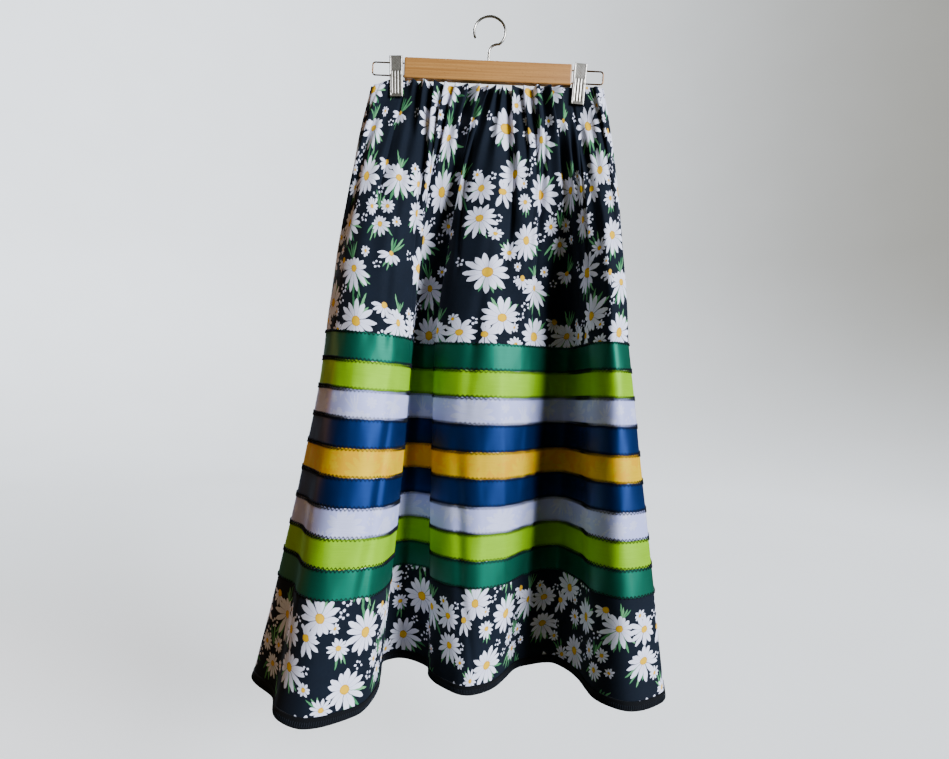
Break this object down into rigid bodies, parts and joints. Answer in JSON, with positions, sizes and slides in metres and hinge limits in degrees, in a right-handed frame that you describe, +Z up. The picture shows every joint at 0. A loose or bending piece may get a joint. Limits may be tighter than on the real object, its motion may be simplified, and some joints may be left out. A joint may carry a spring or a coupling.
{
  "type": "ribbon skirt on a clip hanger",
  "caption": "Gathered ankle-length skirt of dark daisy-print cotton with a band of satin ribbons, hung by its waist from a wooden clip hanger.",
  "frame": {"origin": "the point where the hanger's hook bears on its rail, at the top of the inside of the hook", "axes": "+Z up along the hook's shank, -Y out of the skirt's front, +X to the right as seen from the front"},
  "size_m": [0.5856, 0.2903, 0.9497],
  "materials": {
    "printed_cotton": "matte quilting cotton, dark navy ground printed with white daisies and green blades",
    "green_satin": "dark green polyester satin ribbon",
    "lime_satin": "lime green polyester satin ribbon",
    "white_satin": "white polyester satin ribbon with a lilac cast",
    "navy_satin": "navy blue polyester satin ribbon",
    "gold_satin": "golden yellow polyester satin ribbon",
    "hem_binding": "matte black binding, overlocked",
    "hanger_wood": "clear varnished beech",
    "hanger_nickel": "worn nickel plate on pressed steel",
    "hanger_wire": "dark bronzed steel wire"
  },
  "bodies": {
    "root": {"panel_front": "printed_cotton", "hem_binding_front": "hem_binding", "ribbon_1_front": "green_satin", "ribbon_2_front": "lime_satin", "ribbon_3_front": "white_satin", "ribbon_4_front": "navy_satin", "ribbon_5_front": "gold_satin", "ribbon_6_front": "navy_satin", "ribbon_7_front": "white_satin", "ribbon_8_front": "lime_satin", "ribbon_9_front": "green_satin", "panel_back": "printed_cotton", "hem_binding_back": "hem_binding", "ribbon_1_back": "green_satin", "ribbon_2_back": "lime_satin", "ribbon_3_back": "white_satin", "ribbon_4_back": "navy_satin", "ribbon_5_back": "gold_satin", "ribbon_6_back": "navy_satin", "ribbon_7_back": "white_satin", "ribbon_8_back": "lime_satin", "ribbon_9_back": "green_satin", "hanger_bar": "hanger_wood", "hook": "hanger_nickel", "clip_loop_left": "hanger_wire", "clip_left_front": "hanger_nickel", "clip_left_back": "hanger_nickel", "clip_loop_right": "hanger_wire", "clip_right_front": "hanger_nickel", "clip_right_back": "hanger_nickel"}
  },
  "joints": []
}
